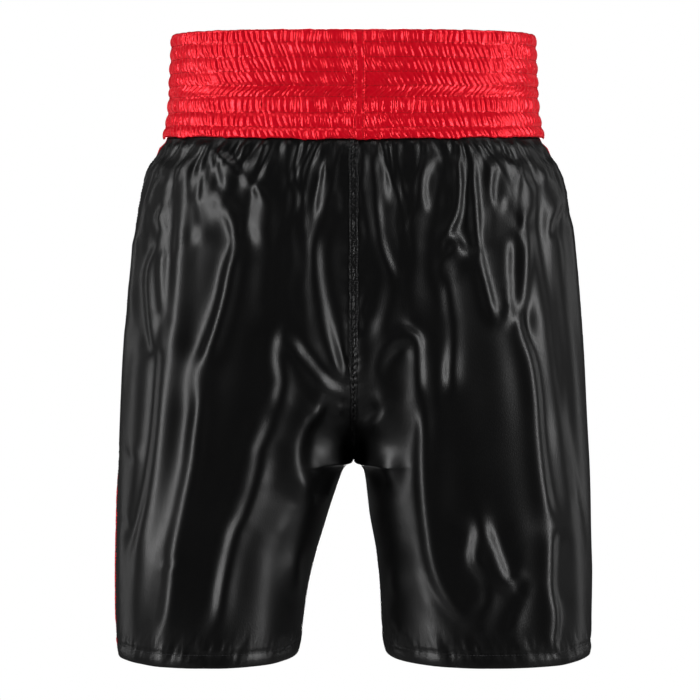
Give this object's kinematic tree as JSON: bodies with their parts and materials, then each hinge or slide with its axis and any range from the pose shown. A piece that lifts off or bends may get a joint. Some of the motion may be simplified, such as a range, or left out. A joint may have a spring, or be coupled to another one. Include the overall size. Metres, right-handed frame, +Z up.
{
  "type": "boxing shorts",
  "caption": "Loose satin boxing shorts with a wide shirred elastic waistband, contrasting side stripes and stitched hems; each leg swings at the hip.",
  "frame": {"origin": "middle of the waistband, half way up it, where the wearer's waist carries the shorts", "axes": "+Z up along the wearer, +Y towards the wearer's back, +X towards the wearer's left"},
  "size_m": [0.464, 0.2353, 0.5946],
  "materials": {
    "red_satin": "glossy deep red satin weave",
    "black_satin": "soft-sheen black satin weave",
    "elastic": "matte woven elastic",
    "red_thread": "spun polyester thread",
    "black_thread": "spun polyester thread",
    "label": "blank woven label"
  },
  "bodies": {
    "waist": {"waistband_casing": "red_satin", "waistband_join": "red_satin", "elastic_row_1": "elastic", "elastic_row_2": "elastic", "elastic_row_3": "elastic", "elastic_row_4": "elastic", "elastic_row_5": "elastic", "elastic_row_6": "elastic", "elastic_row_7": "elastic", "elastic_row_8": "elastic", "waistband_stitch_1": "red_thread", "waistband_stitch_2": "red_thread", "waistband_stitch_3": "red_thread", "waistband_stitch_4": "red_thread", "waistband_stitch_5": "red_thread", "waistband_stitch_6": "red_thread", "waistband_stitch_7": "red_thread", "care_label": "label", "back_rise_seam": "black_satin", "front_rise_seam": "black_satin", "back_panel_left_upper": "black_satin", "front_panel_left_upper": "black_satin", "side_stripe_left_upper": "red_satin", "back_panel_right_upper": "black_satin", "front_panel_right_upper": "black_satin", "side_stripe_right_upper": "red_satin"},
    "left_leg": {"back_panel_left_lower": "black_satin", "front_panel_left_lower": "black_satin", "side_stripe_left_lower": "red_satin", "hem_stitch_left": "black_thread"},
    "right_leg": {"back_panel_right_lower": "black_satin", "front_panel_right_lower": "black_satin", "side_stripe_right_lower": "red_satin", "hem_stitch_right": "black_thread"}
  },
  "joints": [
    {"name": "left_hip", "type": "hinge", "parent": "waist", "child": "left_leg", "pos_m": [0.115, 0, -0.2695], "axis": [-1, 0, 0], "range_deg": [-15, 45], "deforming": ["back_panel_left_upper", "front_panel_left_upper", "side_stripe_left_upper"]},
    {"name": "right_hip", "type": "hinge", "parent": "waist", "child": "right_leg", "pos_m": [-0.115, 0, -0.2695], "axis": [-1, 0, 0], "range_deg": [-15, 45], "deforming": ["back_panel_right_upper", "front_panel_right_upper", "side_stripe_right_upper"]}
  ]
}
